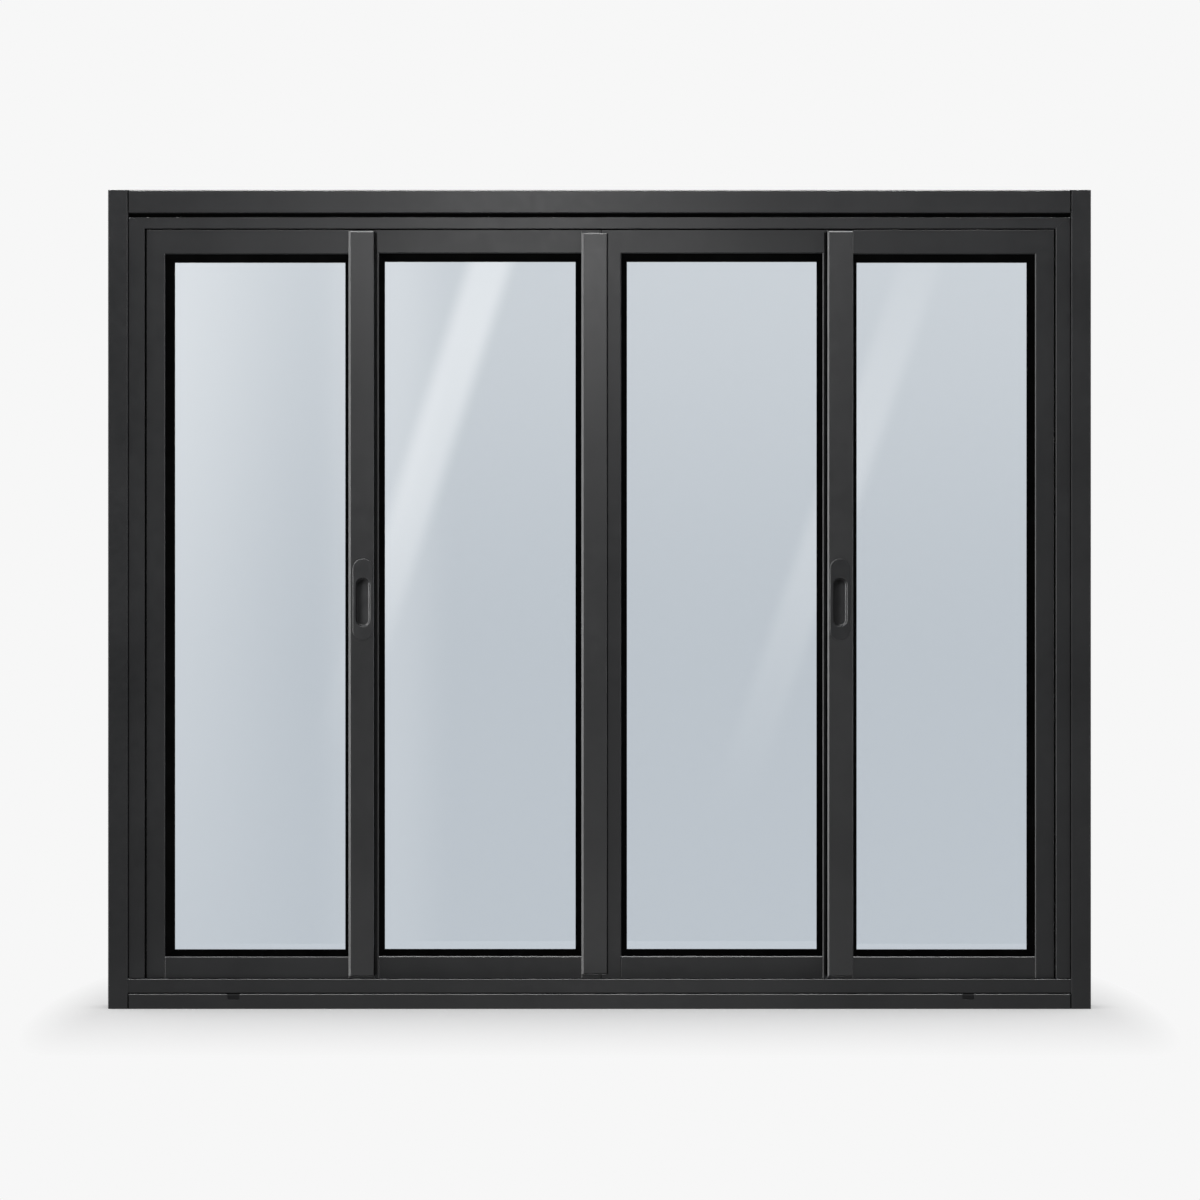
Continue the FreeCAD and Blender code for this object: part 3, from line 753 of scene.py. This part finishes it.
def sashShadeStrips():
    # Painted shade in the joint of the two fixed sashes, and beside the cover on it
    coverLow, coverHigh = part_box("centre_cover")
    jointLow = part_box("centre_left_sash_right_stile")[1].x
    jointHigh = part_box("centre_right_sash_left_stile")[0].x
    glassLow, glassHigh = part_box("centre_left_sash_glass")
    reach = shadeStrips["centreReach"]
    shadeStrip("centreJointBead", (jointLow, glassLow.y - reach, coverLow.z - shadeStrips["centreFoot"]),
         (jointHigh, glassHigh.y + reach, coverHigh.z + shadeStrips["centreTop"]))
    shadeStrip("centreCoverBead", (coverHigh.x, coverHigh.y - shadeStrips["coverDepth"], coverLow.z),
         (coverHigh.x + shadeStrips["coverSeal"], coverHigh.y, coverHigh.z))
    # Painted shade beside the inner edge of each sliding sash, behind its cover
    for side, body in ((1, "left_sash"), (-1, "right_sash")):
        low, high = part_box(body + "_cover")
        edge = high.x if side > 0 else low.x
        outer = edge + side * shadeStrips["leftLap" if side > 0 else "rightLap"]
        shadeStrip(camelName(body) + "LapBead", (min(edge, outer), high.y + shadeStrips["lapFront"], low.z),
             (max(edge, outer), high.y + shadeStrips["lapBack"], high.z), body)


frameShadeStrips()
sashShadeStrips()
print("beads are in")


# Floor, backdrop and light

studio = {
    "white": 0.93,
    "skyLevel": 1.0,
    "darkRoom": 0.05,
    "floorSize": 60.0,
    "shadowStart": -0.36,
    "shadowEnd": 1.0,
    "sideFade": 8.0,
    "floorInCoat": 0.25,
}


def plainWhite():
    level = studio["white"]
    return level, level, level, 1


def backgroundShader(tree, strength=1.0):
    node = addNode(tree, "ShaderNodeBackground")
    node.inputs["Strength"].default_value = strength
    return node


def studioWorld():
    # The camera, and what looks through the glass, see plain white. Diffuse
    # light comes from everywhere, and reflections come from the lamps alone.
    world = bpy.data.worlds.new("studio")
    world.use_nodes = True
    tree = world.node_tree
    tree.nodes.clear()
    output = addNode(tree, "ShaderNodeOutputWorld")
    ray = addNode(tree, "ShaderNodeLightPath").outputs
    backdrop = backgroundShader(tree)
    backdrop.inputs["Color"].default_value = plainWhite()
    sky = backgroundShader(tree, studio["skyLevel"])
    room = backgroundShader(tree, studio["darkRoom"])
    unseen = mixShaders(tree, ray["Is Glossy Ray"], sky.outputs["Background"],
                        room.outputs["Background"])
    seen = calculate(tree, "MAXIMUM", ray["Is Camera Ray"], ray["Is Transmission Ray"])
    whole = mixShaders(tree, seen, unseen, backdrop.outputs["Background"])
    tree.links.new(whole, output.inputs["Surface"])
    scene.world = world


def studioFloor():
    material, tree, output = newMaterial("paleFloor")
    matt = addNode(tree, "ShaderNodeBsdfDiffuse")
    matt.inputs["Color"].default_value = plainWhite()
    glow = addNode(tree, "ShaderNodeEmission")
    glow.inputs["Color"].default_value = plainWhite()
    # Away from the window the floor is as white as the backdrop. Nearer, its real shadow is mixed
    # with painted white glow, more with distance and faster beyond the sides.
    parts = addNode(tree, "ShaderNodeSeparateXYZ")
    tree.links.new(objectPoint(tree), parts.inputs["Vector"])
    beyond = calculate(tree, "ABSOLUTE", parts.outputs["X"])
    beyond = calculate(tree, "SUBTRACT", beyond, windowWidth / 2)
    beyond = calculate(tree, "MAXIMUM", beyond, 0.0)
    beyond = calculate(tree, "MULTIPLY", beyond, studio["sideFade"])
    beyond = calculate(tree, "POWER", beyond, 2.0)
    depth = calculate(tree, "ABSOLUTE", parts.outputs["Y"])
    depth = calculate(tree, "POWER", depth, 2.0)
    distance = calculate(tree, "SQRT", calculate(tree, "ADD", beyond, depth))
    away = remap(tree, distance, studio["shadowStart"], studio["shadowEnd"], 0, 1)
    pale = mixShaders(tree, away, matt.outputs["BSDF"], glow.outputs["Emission"])
    # Painted shade: blurred reflections, as in the satin coat, see the floor dim, and the panes see
    # it as it is.
    ray = addNode(tree, "ShaderNodeLightPath").outputs
    blurred = calculate(tree, "SUBTRACT", ray["Is Glossy Ray"], ray["Is Singular Ray"])
    blurred = calculate(tree, "MAXIMUM", blurred, 0.0)
    dim = addNode(tree, "ShaderNodeEmission")
    dim.inputs["Strength"].default_value = studio["floorInCoat"]
    whole = mixShaders(tree, blurred, pale, dim.outputs["Emission"])
    tree.links.new(whole, output.inputs["Surface"])
    half = studio["floorSize"] / 2
    corners = [(-half, -half, 0), (half, -half, 0), (half, half, 0), (-half, half, 0)]
    floor = addMesh("studioFloor", corners, [(0, 1, 2, 3)], material)


# The lamps shape the coat and the pulls, and the floor and glass have light
# of their own. A level is how bright a lamp's face is, and 1 is white.
pullLamps = {
    "pullKey": {"place": (-3.2, -3.6, 3.6), "aim": (0, 0, 0.75),
                "size": (1.6, 1.6), "level": 29.0},
    "pullLeft": {"place": (-4.6, -4.4, 0.75), "aim": (0, 0, 0.75),
                 "size": (0.9, 0.9), "level": 62.0},
    "pullTop": {"place": (-0.2, -4.0, 4.6), "aim": (0, 0, 0.75),
                "size": (0.9, 0.9), "level": 50.0},
}
coatLamps = {
    "topGlow": {"place": (-0.13, -1.55, 1.62), "aim": (-0.13, 0, 1.45),
                "size": (0.5, 0.5), "level": 5.2},
    "leftGlow": {"place": (-4.6, -1.15, 0.9), "aim": (0, -0.1, 0.8),
                 "size": (3.0, 3.0), "level": 5.4},
    "overhead": {"place": (0, -0.3, 3.1), "aim": (0, 0, 1.0),
                 "size": (3.0, 1.8), "level": 8.5},
    "lowFill": {"place": (0.4, -3.2, 0.4), "aim": (0.3, 0, 0.5),
                "size": (1.6, 1.2), "level": 0.2},
    "lowGlow": {"place": (-0.02, -1.55, -0.06), "aim": (-0.02, 0, 0.04),
                "size": (0.6, 0.4), "level": 0.95},
    "rightGlow": {"place": (3.4, -1.3, 1.0), "aim": (0.5, 0, 0.9),
                  "size": (1.5, 2.0), "level": 2.4},
}


def addLamps(lamps, receiverName, pieces, shadows):
    # The lamps light these pieces alone.
    receivers = bpy.data.collections.new(receiverName)
    for piece in pieces:
        receivers.objects.link(piece)
    for name, setting in lamps.items():
        lamp = bpy.data.lights.new(name, "AREA")
        lamp.shape = "RECTANGLE"
        lamp.size, lamp.size_y = setting["size"]
        lamp.energy = setting["level"] * math.pi * lamp.size * lamp.size_y
        lamp.use_shadow = shadows
        lamp.cycles.use_multiple_importance_sampling = shadows
        item = bpy.data.objects.new(name, lamp)
        item.location = setting["place"]
        toward = Vector(setting["aim"]) - Vector(setting["place"])
        item.rotation_euler = toward.to_track_quat("-Z", "Y").to_euler()
        item.visible_camera = False
        item.light_linking.receiver_collection = receivers
        scene.collection.objects.link(item)


# A soft panel in front, seen only as a reflection in the panes: a ramp that
# brightens upwards, and bands of light. A band has its x at the height bandTop.
panel = {
    "distance": 1.6,
    "halfWidth": 3.0,
    "foot": 0.004,
    "height": 3.3,
    "colour": (1.0, 0.96, 0.90),
    "floorGlow": 0.35,
    "rampFoot": 0.55,
    "rampTop": 1.65,
    "rampGlow": 1.75,
    "bandTop": 1.472,
    "bands": (
        {"x": -0.243, "slope": 0.32, "core": 0.022, "edge": 0.068,
         "glow": 2.5, "middle": 1.30, "reach": 0.95},
        {"x": 0.6925, "slope": 0.346, "core": 0.022, "edge": 0.066,
         "glow": 1.25, "middle": 1.0, "reach": 0.78},
        {"x": -1.00, "slope": 0.0, "core": 0.02, "edge": 0.42,
         "glow": 1.9, "middle": 1.35, "reach": 2.2},
        {"x": -0.47, "slope": 0.0, "core": 0.02, "edge": 0.16,
         "glow": 1.1, "middle": 1.1, "reach": 2.2},
    ),
}


def softBell(tree, value, middle, core, edge):
    # 1 up to the core, falling smoothly to 0 at the edge on either side.
    away = calculate(tree, "ABSOLUTE", calculate(tree, "SUBTRACT", value, middle))
    return remap(tree, away, core, edge, 1, 0, smooth=True)


def reflectorPanel():
    material, tree, output = newMaterial("softPanel")
    parts = addNode(tree, "ShaderNodeSeparateXYZ")
    tree.links.new(objectPoint(tree), parts.inputs["Vector"])
    x, z = parts.outputs["X"], parts.outputs["Z"]
    glow = remap(tree, z, panel["rampFoot"], panel["rampTop"], panel["floorGlow"],
                 panel["rampGlow"], smooth=True)
    for band in panel["bands"]:
        # A band's middle moves left as it comes down.
        drop = calculate(tree, "SUBTRACT", z, panel["bandTop"])
        drop = calculate(tree, "MULTIPLY", drop, band["slope"])
        offset = calculate(tree, "SUBTRACT", x, band["x"])
        offset = calculate(tree, "SUBTRACT", offset, drop)
        across = softBell(tree, offset, 0.0, band["core"], band["edge"])
        fade = softBell(tree, z, band["middle"], 0.0, band["reach"])
        light = calculate(tree, "MULTIPLY", across, fade)
        light = calculate(tree, "MULTIPLY", light, band["glow"])
        glow = calculate(tree, "ADD", glow, light)
    # Only a mirror-sharp reflection shows the panel, so the satin coat doesn't.
    sharp = addNode(tree, "ShaderNodeLightPath").outputs["Is Singular Ray"]
    light = addNode(tree, "ShaderNodeEmission")
    light.inputs["Color"].default_value = (*panel["colour"], 1)
    tree.links.new(calculate(tree, "MULTIPLY", glow, sharp), light.inputs["Strength"])
    tree.links.new(light.outputs["Emission"], output.inputs["Surface"])
    y = frontPlane - panel["distance"]
    wide, low, high = panel["halfWidth"], panel["foot"], panel["height"]
    corners = [(-wide, y, low), (wide, y, low), (wide, y, high), (-wide, y, high)]
    item = addMesh("softPanel", corners, [(0, 1, 2, 3)], material)
    item.visible_camera = False
    item.visible_diffuse = False
    item.visible_transmission = False
    item.visible_shadow = False


studioWorld()
studioFloor()
# Only the pulls' own lamps cast shadows: the lips would darken the rails
# beside them for a hand's width.
addLamps(pullLamps, "litPulls", pullPieces, shadows=True)
addLamps(coatLamps, "litCoat", coatPieces, shadows=False)
reflectorPanel()
print("studio is lit")


# Camera: far off and square to the front, as in the photograph. The centre
# of the window and the ground are places in the picture, in pixels.

view = {
    "distance": 9.0,
    "millimetresPerPixel": 1.8311,
    "imageWidth": 1200,
    "centreX": 599.5,
    "groundY": 1009.0,
    "sensor": 36.0,
    "farthest": 200,
}


def addCamera():
    scale = view["millimetresPerPixel"] / 1000
    middle = view["imageWidth"] / 2
    camera = bpy.data.cameras.new("camera")
    camera.sensor_width = view["sensor"]
    camera.lens = view["sensor"] * view["distance"] / (view["imageWidth"] * scale)
    camera.clip_end = view["farthest"]
    item = bpy.data.objects.new("camera", camera)
    item.location = ((middle - view["centreX"]) * scale, frontPlane - view["distance"],
                     (view["groundY"] - middle) * scale)
    item.rotation_euler = (math.radians(90), 0, 0)
    scene.collection.objects.link(item)
    scene.camera = item


addCamera()

print("window is", round(windowWidth, 3), "m wide")
